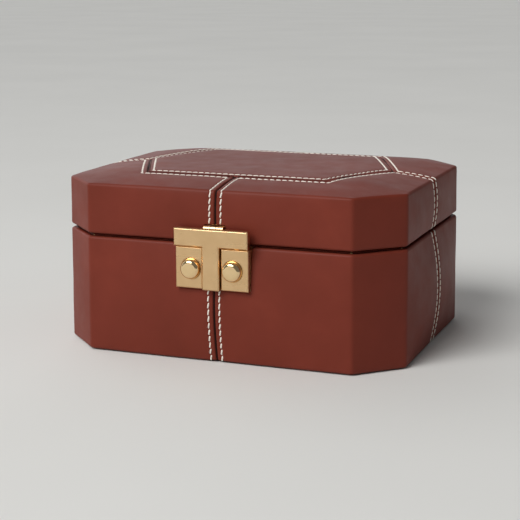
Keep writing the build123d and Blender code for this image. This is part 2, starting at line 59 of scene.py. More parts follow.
# ---- sizes from the frame ----
WOOD_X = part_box("base_wall_right")[1].x
WOOD_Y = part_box("base_wall_back")[1].y
WOOD_INNER_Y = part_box("base_wall_back")[0].y
WOOD_FLAT_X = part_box("base_wall_front")[1].x           # half the length of the front board, outside
BASE_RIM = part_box("base_wall_back")[1].z
LID_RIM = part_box("lid_wall_back")[0].z
BOARD_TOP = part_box("lid_top_board")[1].z
BASE_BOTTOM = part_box("base_cover_back_left")[0].z
BASE_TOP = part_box("base_cover_front_left")[1].z
LID_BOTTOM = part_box("lid_cover_back_left")[0].z
SPLIT = (BASE_RIM + LID_RIM) / 2

# ---- leather panels ----
COVER = 4.0 * MM                 # leather and padding over the boards
CORNER_ROUND = 1.0 * MM          # spread that rounds the upright corner edges
CORNER_SPAN = 7 * MM             # closely divided stretch on each side of a corner edge
CORNER_SHARE = 0.2               # of the swelling, on the narrow corner faces
BASE_SWELL = 4.2 * MM
LID_SWELL = 1.5 * MM
HELD = 1.5 * MM                  # height at foot and rims where the leather is held flat
HELD_TOP = 1.0 * MM
RIM_ROUND = 1.7 * MM
FOOT_ROUND = 1.7 * MM
TOP_ROUND = 1.7 * MM
TOP_EDGE = BOARD_TOP + 4.1 * MM  # height where the crown of the lid starts
CROWN = 5.1 * MM                 # height of the crown over that edge
CROWN_SLOPE = 0.142              # of the border, up to the hexagonal panel
CROWN_BLEND = 0.5 * MM
BORDER_PUFF = 0.25 * MM
PANEL_PUFF = 0.35 * MM
PUFF_SPREAD = 9 * MM
HEX_POINT = 87.2 * MM
HEX_CORNER_X = 61.2 * MM
HEX_CORNER_Y = 59.3 * MM
HEX_LEAN = (HEX_POINT - HEX_CORNER_X) / HEX_CORNER_Y
UNEVEN = 0.03 * MM

# ---- seams and stitches ----
SEAM = 1.0 * MM                  # open gap between two panels
ROLL = 1.15 * MM                 # radius of the leather where it turns into a seam
ROW = 3.75 * MM                  # from the middle of a seam to each row of stitches
ROW_SINK = 0.34 * MM             # groove that the thread pulls into the leather
ROW_SPREAD = 0.7 * MM
HOLLOW = 0.35 * MM               # soft hollow along a seam
HOLLOW_SPREAD = 5 * MM
SEAM_REACH = 13 * MM             # closely divided stretch beside a seam
BORDER_REACH = 7.5 * MM          # the same on the lid's border, beside the hexagonal panel
NO_SEAM = 1.0                    # a distance at which no seam is felt
STITCH_PITCH = 4.2 * MM
STITCH_LENGTH = 4.25 * MM
STITCH_SLANT = math.radians(11)
SLANT_SPREAD = 0.03              # unevenness of hand stitching, in radians
THREAD_R = 0.50 * MM
THREAD_ARCH = 0.30 * MM
THREAD_SINK = 0.12 * MM
THREAD_DIVE = 0.40 * MM          # of each end into its hole

# ---- fittings ----
KNUCKLE_R = 2.1 * MM             # of the hasp's hinge
CUT_AWAY = 20 * MM               # how far cuts in the front leather run outwards
ROOM = 0.3 * MM                  # round the hinges and the hasp's knuckles
LOCK_ROOM = 0.1 * MM             # round the lock case
MIRROR_CORNER = 16 * MM
PIPING_R = 1.1 * MM
TAB_DROP = 0.6 * MM              # how far a ribbon tab's upper corners are rounded off
SPRING_TURNS = 3
SPRING_WIRE_R = 0.25 * MM
BUTTON_FLAT = 0.56               # share of a button's radius that is flat
BUTTON_DOME = 3.8 * MM
ROLLS = 4
ROLL_R = 6.6 * MM
ROLL_DRAWN = 4.5 * MM            # length over which each end of a ring roll is drawn in

# ---- studio ----
KEY_FROM = Vector((-0.35, -0.78, 0.76))
KEY_STRENGTH = 1.6
KEY_SPREAD = math.radians(38)
LAMP_AWAY = 2.1
LAMP_SIZE = 1.6
LAMP_POWER = 19.5
BRIGHT_SIDE = (-0.8, 0.6, 0.1)   # towards the brightest wall of the room
BRIGHT_FROM = 0.5                # share of that direction at which the wall starts
WALLS = (0.17, 1.35)             # radiance of the darkest and brightest walls
FLOOR_REACH = 30
CAMERA_AT = (0.330, -0.8754, 0.24526)
CAMERA_TURN = (82.182, 0.133, 20.624)
CAMERA_LENS = 96.91
CAMERA_SHIFT = (-0.0161, -0.195)

HALF_X = WOOD_X + COVER
HALF_Y = WOOD_Y + COVER
CORNER = WOOD_X - WOOD_FLAT_X + COVER * (2 - math.sqrt(2))

rng = np.random.default_rng(11)


# ---- the outline of the case ----
def octagon(inset):
    """Its eight corners, anticlockwise from the right end of the front, moved inwards by inset."""
    x, y = HALF_X - inset, HALF_Y - inset
    cut = CORNER - inset * (2 - math.sqrt(2))
    return np.array([(x - cut, -y), (x, -y + cut), (x, y - cut), (x - cut, y),
                     (-x + cut, y), (-x, y - cut), (-x, -y + cut), (-x + cut, -y)])


def outline_fields():
    """Three fields along the outline, from the middle of the front: place, inward step and swelling."""
    corners = octagon(0)
    stepped = octagon(MM)
    sides = np.linalg.norm(np.roll(corners, -1, 0) - corners, axis=1)
    ends = HALF_X - CORNER + np.concatenate([[0], np.cumsum(sides)])
    perimeter = sides.sum()
    along = np.linspace(0, perimeter, 4096, endpoint=False)
    place, step, swell = (np.zeros((len(along), 2)) for _ in range(3))
    for i in range(8):
        j = (i + 1) % 8
        share = ((along - ends[i]) % perimeter) / sides[i]
        on = share < 1
        f = share[on][:, None]
        place[on] = corners[i] * (1 - f) + corners[j] * f
        step[on] = (stepped[i] * (1 - f) + stepped[j] * f - place[on]) / MM
        side = corners[j] - corners[i]
        outward = np.array([side[1], -side[0]]) / sides[i]
        swell[on] = outward * (1 - (2 * f - 1) ** 2) * (CORNER_SHARE if i % 2 == 0 else 1)
    spread = np.exp(-0.5 * ((along - perimeter / 2) / CORNER_ROUND) ** 2)
    kernel = np.fft.rfft(np.roll(spread / spread.sum(), -len(along) // 2))[:, None]
    rounded = [np.fft.irfft(np.fft.rfft(field, axis=0) * kernel, len(along), axis=0)
               for field in (place, step, swell)]
    return along, perimeter, rounded


ALONG, PERIMETER, FIELDS = outline_fields()
QUARTER = PERIMETER / 4


def section(s, inset, swell):
    """Points (x, y) at distance s along the outline, moved inwards by inset and outwards by swell."""
    s, inset, swell = np.broadcast_arrays(s, inset, swell)
    out = []
    for axis in range(2):
        place, step, bulge = (np.interp(s, ALONG, f[:, axis], period=PERIMETER) for f in FIELDS)
        out.append(place + inset * step + swell * bulge)
    return np.stack(out, -1)


def swelling(z, low, high, amount):
    """How far the leather stands out at height z, between the heights where it is held."""
    t = np.clip((z - low) / (high - low), 0, 1)
    return amount * (1 - (2 * t - 1) ** 2)


# ---- heights and seams ----
def edge_distance(x, y):
    """Distance from the edge of the lid, rounded off where two sides meet."""
    blend = 3 * MM
    sides = [HALF_X - abs(x), HALF_Y - abs(y), (HALF_X + HALF_Y - CORNER - abs(x) - abs(y)) / math.sqrt(2)]
    return np.maximum(-blend * np.log(sum(np.exp(-d / blend) for d in sides)), 0)


def crown(xy):
    """Height of the lid's top: a straight slope from the edge that eases into the nearly level middle."""
    slope = np.exp(-CROWN_SLOPE * edge_distance(*xy.T) / CROWN_BLEND)
    return TOP_EDGE - CROWN_BLEND * np.log(slope + math.exp(-CROWN / CROWN_BLEND))


def seam_dip(d):
    """How deep the leather lies at distance d from a seam's middle: rolled edge, stitch line, soft hollow."""
    over = np.clip(ROLL - (d - SEAM / 2), 0, ROLL)
    rolled = ROLL - np.sqrt(ROLL ** 2 - over ** 2)
    groove = ROW_SINK * np.exp(-((d - ROW) / ROW_SPREAD) ** 2)
    return rolled + groove + HOLLOW * np.exp(-(d / HOLLOW_SPREAD) ** 2)


WAVES = [(rng.normal(size=3) * 2 * math.pi / rng.uniform(0.03, 0.08), rng.uniform(0, 2 * math.pi))
         for _ in range(9)]


def uneven(grid, normal, outer=1.0):
    """The slow random unevenness of hand-padded leather, on the rows that show."""
    waves = sum(np.sin(grid @ k + phase) for k, phase in WAVES)
    return grid + normal * (UNEVEN * waves * outer)[..., None]


def seam_steps(reach):
    """Distances from a seam, close together where the leather turns in."""
    steps = [0.5, 0.53, 0.6, 0.75, 0.95, 1.3, 1.7, 2.2, 2.7, 3.1, 3.45, 3.75,
             4.05, 4.4, 4.8, 5.4, 6.2, 7.2, 8.6, 10.4, 13.0]
    return np.array([d for d in steps if d <= reach / MM]) * MM


def quarter_stations():
    """Distances along the front right quarter of the outline, dense at both seams and at the corners."""
    near = seam_steps(SEAM_REACH)
    first = HALF_X - CORNER
    second = first + CORNER * math.sqrt(2)
    parts = [near,
             np.linspace(near[-1], first - CORNER_SPAN, 24)[1:-1],
             np.linspace(first - CORNER_SPAN, first + CORNER_SPAN, 17),
             np.linspace(first + CORNER_SPAN, second - CORNER_SPAN, 11)[1:-1],
             np.linspace(second - CORNER_SPAN, second + CORNER_SPAN, 17),
             np.linspace(second + CORNER_SPAN, QUARTER - near[-1], 18)[1:-1],
             QUARTER - near[::-1]]
    return np.concatenate(parts)


STATIONS = quarter_stations()


# ---- meshes ----
def new_object(name, vertices, faces, smooth=True):
    mesh = bpy.data.meshes.new(name)
    mesh.from_pydata([tuple(v) for v in np.asarray(vertices, float)], [], faces)
    mesh.update()
    mesh.polygons.foreach_set("use_smooth", [smooth] * len(mesh.polygons))
    made = bpy.data.objects.new(name, mesh)
    bpy.context.scene.collection.objects.link(made)
    return made


def fix_normals(obj):
    work = bmesh.new()
    work.from_mesh(obj.data)
    bmesh.ops.recalc_face_normals(work, faces=work.faces)
    work.to_mesh(obj.data)
    work.free()


def grid_faces(columns, rows, wrap_columns=False):
    """Faces over numbered points [column, row]. Rows close into rings, and open end columns get flat caps."""
    number = np.arange(columns * rows).reshape(columns, rows)
    faces = []
    for i in range(columns if wrap_columns else columns - 1):
        for j in range(rows):
            k, m = (i + 1) % columns, (j + 1) % rows
            faces.append((number[i, j], number[k, j], number[k, m], number[i, m]))
    if not wrap_columns:
        faces += [number[0, ::-1], number[-1]]
    return [tuple(int(v) for v in face) for face in faces]


def grid_object(name, grid, wrap_columns=False):
    """A closed mesh over grid[column, row]."""
    obj = new_object(name, grid.reshape(-1, 3), grid_faces(*grid.shape[:2], wrap_columns))
    fix_normals(obj)
    return obj


def with_height(xy, z):
    """Points (x, y, z) from points (x, y) and one or many heights."""
    return np.concatenate([xy, np.broadcast_to(z, xy.shape[:-1])[..., None]], -1)


def grid_normals(grid, outward):
    """Unit normals of grid[column, row], turned to the side that outward points to."""
    across, up = np.gradient(grid, axis=0), np.gradient(grid, axis=1)
    normal = np.cross(across, up)
    normal /= np.maximum(np.linalg.norm(normal, axis=-1, keepdims=True), 1e-12)
    return normal * np.sign((normal * outward).sum(-1, keepdims=True) + 1e-12)


def block(name, low, high):
    """A block between two corners."""
    corners = [(x, y, z) for x in (low[0], high[0]) for y in (low[1], high[1]) for z in (low[2], high[2])]
    faces = [(0, 1, 3, 2), (4, 6, 7, 5), (0, 4, 5, 1), (2, 3, 7, 6), (0, 2, 6, 4), (1, 5, 7, 3)]
    obj = new_object(name, corners, faces, smooth=False)
    fix_normals(obj)
    return obj


def round_edges(obj, width, angle):
    """Adds a small round to the edges sharper than angle, and keeps the flat faces flat."""
    weld = obj.modifiers.new("weld", "WELD")
    weld.merge_threshold = 1e-6
    bevel = obj.modifiers.new("bevel", "BEVEL")
    bevel.width = width
    bevel.segments = 2
    bevel.limit_method = "ANGLE"
    bevel.angle_limit = math.radians(angle)
    flat = obj.modifiers.new("flat_faces", "WEIGHTED_NORMAL")
    flat.weight = 90


def cut(obj, cutters):
    """Takes blocks, each given by two corners, out of a closed mesh."""
    for low, high in cutters:
        tool = block("cutter", low, high)
        modifier = obj.modifiers.new("cut", "BOOLEAN")
        modifier.operation = "DIFFERENCE"
        modifier.solver = "EXACT"
        modifier.object = tool
        bpy.context.view_layer.update()
        evaluated = obj.evaluated_get(bpy.context.evaluated_depsgraph_get())
        cut_mesh = bpy.data.meshes.new_from_object(evaluated)
        obj.modifiers.clear()
        old = obj.data
        obj.data = cut_mesh
        bpy.data.meshes.remove(old)
        bpy.data.objects.remove(tool)


def finish_piece(obj, body, material, replaces=()):
    obj.data.materials.clear()
    obj.data.materials.append(material)
    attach(obj, body)
    for node in replaces:
        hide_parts(node)


# ---- leather panels ----
def nearest(values, wanted):
    return int(np.argmin(abs(values - wanted)))


def quarter_turn(steps):
    return np.radians(np.linspace(0, 90, steps))


def rounded_foot(radius, bottom):
    """Insets and heights where the leather turns under."""
    return [(radius * (1 - math.sin(a)), bottom + radius * (1 - math.cos(a))) for a in quarter_turn(7)]


def base_grid():
    """One base panel in the front right quarter, from the foot round to its inner face.

    Returns its points, their outward normals and which rows show."""
    low, high = BASE_BOTTOM + FOOT_ROUND, BASE_TOP - RIM_ROUND
    rows = rounded_foot(FOOT_ROUND, BASE_BOTTOM)
    rows += [(0, z) for z in np.linspace(low, high, 30)[1:-1]]
    rows += [(RIM_ROUND * (1 - math.cos(a)), high + RIM_ROUND * math.sin(a)) for a in quarter_turn(7)]
    outer = np.array([1] * len(rows) + [0, 0])
    rows += [(COVER, BASE_TOP), (COVER, BASE_BOTTOM)]
    inset, z = np.array(rows).T
    bulge = swelling(z, BASE_BOTTOM + HELD, BASE_TOP - HELD, BASE_SWELL) * outer
    xy = section(STATIONS[:, None], inset[None], bulge[None])
    return *dip_seams(with_height(xy, z), outer), outer


def dip_seams(grid, outer, hex_distance=NO_SEAM):
    """Sinks the leather at the seams that bound the quarter. Returns it with its outward normals."""
    on_lid = grid[..., 2].mean() > BASE_RIM
    middle = np.array([0, 0, BASE_RIM if on_lid else 0.4 * BASE_RIM])
    normal = grid_normals(grid, grid - middle)
    dip = seam_dip(abs(grid[..., 0])) + seam_dip(abs(grid[..., 1])) + seam_dip(hex_distance)
    return grid - normal * (dip * outer)[..., None], normal


def hexagon_corner(margin):
    """The hexagon, larger by margin: how far out its point is, and its corner's x and y."""
    point = HEX_POINT + margin * math.sqrt(1 + HEX_LEAN ** 2)
    corner_y = HEX_CORNER_Y + margin
    return point, point - corner_y * HEX_LEAN, corner_y


def hexagon_line(margin, s):
    """The hexagon's edge, larger by margin, beside each station of the front right quarter."""
    point, corner_x, corner_y = hexagon_corner(margin)
    same = seam_steps(SEAM_REACH)[-1]
    turn = HALF_X - CORNER + CORNER / math.sqrt(2)
    x = np.where(s < same, s, same + (corner_x - same) * (s - same) / (turn - same))
    front = np.stack([x, np.full_like(x, -corner_y)], -1)
    left = QUARTER - s
    y = np.where(left < same, left, same + (corner_y - same) * (left - same) / (QUARTER - turn - same))
    side = np.stack([point - y * HEX_LEAN, -y], -1)
    return np.where((s < turn)[:, None], front, side)


def hexagon_ring(margin):
    """Points all round the hexagon, larger by margin."""
    point, corner_x, corner_y = hexagon_corner(margin)
    corners = np.array([(point, 0), (corner_x, corner_y), (-corner_x, corner_y),
                        (-point, 0), (-corner_x, -corner_y), (corner_x, -corner_y)])
    sides = []
    for i, count in enumerate((26, 44, 26, 26, 44, 26)):
        f = np.linspace(0, 1, count, endpoint=False)[:, None]
        sides.append(corners[i] * (1 - f) + corners[(i + 1) % 6] * f)
    return np.concatenate(sides)


def lid_grid():
    """One lid panel in the front right quarter: rim, wall, rounded upper edge, border, inner faces.

    Returns its points, their outward normals, which rows show and each row's distance from the hexagon."""
    low, high = LID_BOTTOM + RIM_ROUND, TOP_EDGE - TOP_ROUND
    wall = [(inset, z, 0) for inset, z in rounded_foot(RIM_ROUND, LID_BOTTOM)]
    wall += [(0, z, 0) for z in np.linspace(low, high, 13)[1:-1]]
    wall += [(TOP_ROUND * (1 - math.cos(a)), TOP_EDGE - TOP_ROUND * (1 - math.sin(a)), math.sin(a))
             for a in quarter_turn(9)]
    rows = []
    for inset, z, lifted in wall:
        xy = section(STATIONS, inset, swelling(z, LID_BOTTOM + HELD, TOP_EDGE - HELD_TOP, LID_SWELL))
        rows.append((with_height(xy, z + lifted * (crown(xy) - TOP_EDGE)), 1, NO_SEAM))
    rim = section(STATIONS, TOP_ROUND, 0)
    near = seam_steps(BORDER_REACH)[::-1]
    begin = hexagon_line(near[0], STATIONS)
    for w in np.linspace(0, 1, 12)[1:-1]:
        xy = rim * (1 - w) + begin * w
        rows.append((with_height(xy, crown(xy) + BORDER_PUFF * math.sin(math.pi * w)), 1, NO_SEAM))
    for distance in near:
        xy = hexagon_line(distance, STATIONS)
        rows.append((with_height(xy, crown(xy)), 1, distance))
    rows.append((with_height(xy, BOARD_TOP), 0, NO_SEAM))     # straight down to the board
    for z in (BOARD_TOP, LID_BOTTOM):
        rows.append((with_height(section(STATIONS, COVER, 0), z), 0, NO_SEAM))
    points, outer, far = zip(*rows)
    outer, far = np.array(outer), np.array(far)
    return *dip_seams(np.stack(points, 1), outer, far), outer, far


def in_quarter(grid, side_x, side_y):
    """The front right quarter's points, mirrored to another quarter."""
    return grid * np.array([side_x, -side_y, 1])


QUARTERS = {"front_left": (-1, -1), "front_right": (1, -1), "back_left": (-1, 1), "back_right": (1, 1)}


def hinge_cut(side):
    """Room in the back leather and the rims for a hinge's leaves and knuckles."""
    low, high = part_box(f"hinge_leaf_base_{side}")
    return ((low.x - ROOM, WOOD_INNER_Y + 0.4 * MM, SPLIT - 1.6 * MM),
            (high.x + ROOM, high.y + 3 * MM, SPLIT + 1.6 * MM))


def lock_cut():
    """Room in the front leather of the base for the lock case."""
    low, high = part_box("lock_case")
    return ((low.x - LOCK_ROOM, low.y - CUT_AWAY, low.z - LOCK_ROOM),
            (high.x + LOCK_ROOM, high.y + ROOM, SPLIT))


def knuckle_cut():
    """Room in the front leather of the lid for the hasp's knuckles."""
    low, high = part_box("hasp_hinge_pin")
    middle, room = (low.z + high.z) / 2, KNUCKLE_R + ROOM
    return ((low.x - 0.4 * MM, low.y - CUT_AWAY, middle - room),
            (high.x + 0.4 * MM, -WOOD_Y - 0.5 * MM, middle + room))


HINGE_CUTS = [hinge_cut("left"), hinge_cut("right")]


def leather_panels(part, grid, normal, outer, front_cut):
    """The four mirrored panels of the base or the lid. Returns their grids for the stitches."""
    placed = {}
    for name, (side_x, side_y) in QUARTERS.items():
        normals = in_quarter(normal, side_x, side_y)
        points = uneven(in_quarter(grid, side_x, side_y), normals, outer)
        panel = grid_object(f"{part}_leather_{name}", points)
        cut(panel, [front_cut] if side_y < 0 else HINGE_CUTS)
        finish_piece(panel, part, LEATHER, [f"{part}_cover_{name}"])
        placed[name] = (points, normals)
    return placed


def hexagon_panel():
    """The padded top panel. Returns the line of its stitches with normals."""
    near = seam_steps(SEAM_REACH)
    rings = [(hexagon_ring(-d), seam_dip(d), d) for d in near]
    last = rings[-1][0]
    rings += [(last * w, 0, near[-1] + (1 - w) * HEX_CORNER_Y) for w in np.linspace(1, 0.04, 16)[1:]]
    rows = []
    for xy, dip, inward in rings:
        puff = PANEL_PUFF * (1 - math.exp(-inward / PUFF_SPREAD))
        rows.append(with_height(xy, crown(xy) - dip + puff))
    grid = np.stack(rows, 1)
    normal = grid_normals(grid, np.array([0, 0, 1.0]))
    grid = uneven(grid, normal)
    skirt = with_height(grid[:, :1, :2], BOARD_TOP)
    panel = grid_object("lid_leather_hexagon", np.concatenate([skirt, grid], 1).swapaxes(0, 1))
    finish_piece(panel, "lid", LEATHER, ["lid_top_panel"])
    line = nearest(near, ROW)
    return grid[:, line], normal[:, line]


# ---- stitches ----
def stitch_shape():
    """One stitch along X, as rings of points: a short arched thread whose ends dive into the leather."""
    around = 2 * math.pi * np.arange(8) / 8
    rings = []
    for t in np.linspace(-1, 1, 9):
        radius = THREAD_R * (1 - 0.5 * abs(t) ** 4)
        height = THREAD_ARCH * (1 - abs(t) ** 3) - THREAD_SINK - THREAD_DIVE * abs(t) ** 8
        turn = around + 0.5 * t
        rings.append(np.stack([np.full(8, t * STITCH_LENGTH / 2), 1.08 * radius * np.cos(turn),
                               height + 0.85 * radius * np.sin(turn)], -1))
    return np.stack(rings)


def first_crossing(run, heights, limit):
    """Distance along a line to where it first rises past a height."""
    i = int(np.argmax(heights > limit))
    if i == 0:
        return run[0]
    share = (limit - heights[i - 1]) / (heights[i] - heights[i - 1])
    return run[i - 1] + share * (run[i] - run[i - 1])


def place_on(line, run, at):
    """The place on a line at a distance along it."""
    return np.array([np.interp(at, run, line[:, k]) for k in range(3)])


def unit(v):
    return v / np.linalg.norm(v)


def stitch_row(line, normals, slant, above=None, below=None):
    """Places of the stitches along a line on the leather, between two heights.

    Each is its middle, its direction, its side and the leather's normal."""
    run = np.concatenate([[0], np.cumsum(np.linalg.norm(np.diff(line, axis=0), axis=1))])
    start = 0 if above is None else first_crossing(run, line[:, 2], above)
    end = run[-1] if below is None else first_crossing(run, line[:, 2], below)
    count = int((end - start + 0.3 * STITCH_PITCH) / STITCH_PITCH)
    pitch = (end - start) / count
    made = []
    for i in range(count):
        at = start + (i + 0.5) * pitch
        normal = unit(place_on(normals, run, at))
        ahead = place_on(line, run, at + MM) - place_on(line, run, at - MM)
        ahead = unit(ahead - normal * (ahead @ normal))
        side = np.cross(normal, ahead)
        turn = slant + rng.normal(0, SLANT_SPREAD)
        slanted = ahead * math.cos(turn) + side * math.sin(turn)
        made.append((place_on(line, run, at), slanted, np.cross(normal, slanted), normal))
    return made


def stitches_object(name, body, places):
    shape = stitch_shape()
    one = grid_faces(*shape.shape[:2])
    shape = shape.reshape(-1, 3)
    vertices, faces = [], []
    for middle, ahead, side, normal in places:
        scale = np.array([rng.uniform(0.95, 1.04), 1, 1])
        offset = len(vertices) * len(shape)
        vertices.append(middle + (shape * scale) @ np.array([ahead, side, normal]))
        faces += [tuple(v + offset for v in face) for face in one]
    obj = new_object(name, np.concatenate(vertices), faces)
    fix_normals(obj)
    finish_piece(obj, body, THREAD)


# ---- materials ----
def linear(r, g, b):
    """A colour given as it looks on a screen, 0 to 255, as linear light."""
    shares = (c / 255 for c in (r, g, b))
    return *(((c + 0.055) / 1.055) ** 2.4 if c > 0.04 else c / 12.92 for c in shares), 1.0


class Finish:
    """A Principled material with procedural colour, roughness and relief in the object's own coordinates."""

    def __init__(self, name, **constants):
        self.material = bpy.data.materials.new(name)
        self.material.use_nodes = True
        self.tree = self.material.node_tree
        self.shader = self.tree.nodes["Principled BSDF"]
        self.place = self.tree.nodes.new("ShaderNodeTexCoord").outputs["Object"]
        self.last_bump = None
        for socket, value in constants.items():
            self.shader.inputs[socket.replace("_", " ")].default_value = value

    def stretched(self, scale):
        mapping = self.tree.nodes.new("ShaderNodeMapping")
        mapping.inputs["Scale"].default_value = scale
        self.tree.links.new(self.place, mapping.inputs["Vector"])
        return mapping.outputs["Vector"]

    def noise(self, scale, detail=3.0, roughness=0.5, vector=None, distortion=0.0):
        node = self.tree.nodes.new("ShaderNodeTexNoise")
        node.inputs["Scale"].default_value = scale
        node.inputs["Detail"].default_value = detail
        node.inputs["Roughness"].default_value = roughness
        node.inputs["Distortion"].default_value = distortion
        self.tree.links.new(vector or self.place, node.inputs["Vector"])
        return node.outputs["Fac"]

    def cells(self, scale):
        node = self.tree.nodes.new("ShaderNodeTexVoronoi")
        node.feature = "DISTANCE_TO_EDGE"
        node.inputs["Scale"].default_value = scale
        self.tree.links.new(self.place, node.inputs["Vector"])
        return node.outputs["Distance"]

    def wave(self, scale, distortion=0.0):
        node = self.tree.nodes.new("ShaderNodeTexWave")
        node.inputs["Scale"].default_value = scale
        node.inputs["Distortion"].default_value = distortion
        self.tree.links.new(self.place, node.inputs["Vector"])
        return node.outputs["Fac"]

    def span(self, value, low, high):
        """A texture's value, mostly 0.3 to 0.7, spread between two others."""
        node = self.tree.nodes.new("ShaderNodeMapRange")
        node.inputs["From Min"].default_value = 0.3
        node.inputs["From Max"].default_value = 0.7
        node.inputs["To Min"].default_value = low
        node.inputs["To Max"].default_value = high
        self.tree.links.new(value, node.inputs["Value"])
        return node.outputs["Result"]

    def colours(self, value, *stops):
        node = self.tree.nodes.new("ShaderNodeValToRGB")
        ramp = node.color_ramp
        ramp.elements[0].position, ramp.elements[0].color = stops[0]
        ramp.elements[1].position, ramp.elements[1].color = stops[-1]
        for position, colour in stops[1:-1]:
            ramp.elements.new(position).color = colour
        self.tree.links.new(value, node.inputs["Fac"])
        self.tree.links.new(node.outputs["Color"], self.shader.inputs["Base Color"])

    def roughness(self, value, low, high):
        self.tree.links.new(self.span(value, low, high), self.shader.inputs["Roughness"])

    def relief(self, value, height, strength=1.0):
        node = self.tree.nodes.new("ShaderNodeBump")
        node.inputs["Strength"].default_value = strength
        node.inputs["Distance"].default_value = height
        self.tree.links.new(value, node.inputs["Height"])
        if self.last_bump:
            self.tree.links.new(self.last_bump, node.inputs["Normal"])
        self.last_bump = node.outputs["Normal"]
        self.tree.links.new(self.last_bump, self.shader.inputs["Normal"])
        return self


def leather_finish():
    f = Finish("smooth_leather", Specular_IOR_Level=0.15)
    f.colours(f.noise(22, 4, 0.6),
              (0.30, linear(109, 45, 32)), (0.55, linear(115, 48, 35)), (0.75, linear(122, 52, 38)))
    f.roughness(f.noise(90), 0.45, 0.53)
    return f.relief(f.cells(850), 0.00006, 0.5).relief(f.noise(1700, 2), 0.00004, 0.5).material


# The strip's own dark edge-dyed colour, darkened further as painted shade of the deep seam groove.
def seam_strip_with_painted_shade():
    f = Finish("seam_strip_painted_shade", Specular_IOR_Level=0.1)
    f.colours(f.noise(500), (0.3, linear(26, 12, 10)), (0.7, linear(40, 18, 14)))
    f.roughness(f.noise(300), 0.6, 0.8)
    return f.relief(f.noise(1500, 2), 0.00005).material


def thread_finish():
    f = Finish("cream_thread", Sheen_Weight=0.2, Specular_IOR_Level=0.35)
    f.colours(f.noise(1200, 2), (0.3, linear(242, 231, 216)), (0.7, linear(254, 248, 238)))
    f.roughness(f.noise(900), 0.55, 0.75)
    return f.relief(f.wave(1100, 1.5), 0.00008, 0.7).material


def suede_finish(name, dark, light):
    f = Finish(name, Sheen_Weight=0.35, Sheen_Roughness=0.45, Specular_IOR_Level=0.2)
    f.colours(f.noise(35, 5, 0.65), (0.3, dark), (0.7, light))
    f.roughness(f.noise(400), 0.85, 0.97)
    return f.relief(f.noise(2600, 3, 0.7), 0.00012, 0.8).relief(f.noise(120, 2), 0.0001, 0.4).material


def metal_finish(name, dark, light, low, high, brushed=False):
    """Bare metal between two roughnesses. Brushed metal has its scratches along X."""
    f = Finish(name, Metallic=1.0)
    f.colours(f.noise(120, 2), (0.3, dark), (0.7, light))
    scratches = f.noise(500, 4, 0.6, f.stretched((0.06 if brushed else 1.0, 1.0, 1.0)))
    f.roughness(scratches, low, high)
    return f.relief(scratches, 0.000003, 0.3).material


def wood_finish():
    f = Finish("pale_board", Specular_IOR_Level=0.35)
    grain = f.noise(60, 5, 0.6, f.stretched((0.15, 1.0, 1.0)), 0.8)
    f.colours(grain, (0.3, linear(168, 128, 86)), (0.7, linear(204, 168, 122)))
    f.roughness(grain, 0.55, 0.75)
    return f.relief(grain, 0.0001, 0.4).material


def mirror_finish():
    f = Finish("mirror_glass", Metallic=1.0, Base_Color=linear(232, 236, 238))
    f.roughness(f.noise(8, 2), 0.015, 0.03)
    return f.material


def ribbon_finish():
    f = Finish("woven_ribbon", Sheen_Weight=0.3, Specular_IOR_Level=0.3)
    weave = f.wave(900)
    f.colours(weave, (0.2, linear(84, 34, 27)), (0.8, linear(112, 50, 40)))
    f.roughness(f.noise(500), 0.6, 0.75)
    return f.relief(weave, 0.00008, 0.7).material


LEATHER = leather_finish()
SEAM_STRIP_PAINTED_SHADE = seam_strip_with_painted_shade()
THREAD = thread_finish()
SUEDE = suede_finish("suede_lining", linear(150, 122, 94), linear(176, 147, 117))
# Dark underside suede; its dark colour is partly painted shade, standing in for the shadow line under the
# bottom edge.
FOOT_SUEDE_AND_SHADE = suede_finish("foot_suede_painted_shade", linear(44, 25, 21), linear(60, 34, 28))
PAD_SUEDE = suede_finish("ring_pad_suede", linear(160, 132, 103), linear(188, 160, 130))
SATIN = metal_finish("satin_gold", linear(226, 189, 141), linear(233, 197, 149), 0.26, 0.33, brushed=True)
POLISHED = metal_finish("polished_gold", linear(238, 206, 155), linear(245, 215, 167), 0.07, 0.12)
PLATED = metal_finish("plated_steel", linear(196, 170, 128), linear(206, 182, 142), 0.2, 0.32)
WOOD = wood_finish()
MIRROR = mirror_finish()
RIBBON = ribbon_finish()


# ---- leather and stitches on the case ----
def build_leather():
    base_cut, lid_cut = lock_cut(), knuckle_cut()
    base = leather_panels("base", *base_grid(), base_cut)
    grid, normal, outer, far = lid_grid()
    lid = leather_panels("lid", grid, normal, outer, lid_cut)
    line, line_normal = hexagon_panel()
    front, side, hex_row = nearest(STATIONS, ROW), nearest(STATIONS, QUARTER - ROW), nearest(far, ROW)
    above_foot = BASE_BOTTOM + 0.5 * MM
    below_lock = base_cut[0][2] - LOCK_ROOM
    above_bar = lid_cut[1][2] + 0.2 * MM
    for name, (side_x, side_y) in QUARTERS.items():
        at_front = side_y < 0
        points, normals = (a[:, :-2] for a in base[name])
        places = stitch_row(points[front], normals[front], -STITCH_SLANT, above_foot,
                            below_lock if at_front else None)
        places += stitch_row(points[side], normals[side], -STITCH_SLANT, above_foot)
        stitches_object(f"base_stitches_{name}", "base", places)
        points, normals = (a[:, :hex_row + 1] for a in lid[name])
        places = stitch_row(points[front], normals[front], -STITCH_SLANT, above_bar if at_front else None)
        places += stitch_row(points[side], normals[side], -STITCH_SLANT)
        places += stitch_row(points[front:side + 1, -1], normals[front:side + 1, -1],
                             STITCH_SLANT * side_x * side_y)
        stitches_object(f"lid_stitches_{name}", "lid", places)
    closed = [np.concatenate([a, a[:1]]) for a in (line, line_normal)]
    stitches_object("lid_stitches_hexagon", "lid", stitch_row(*closed, STITCH_SLANT))


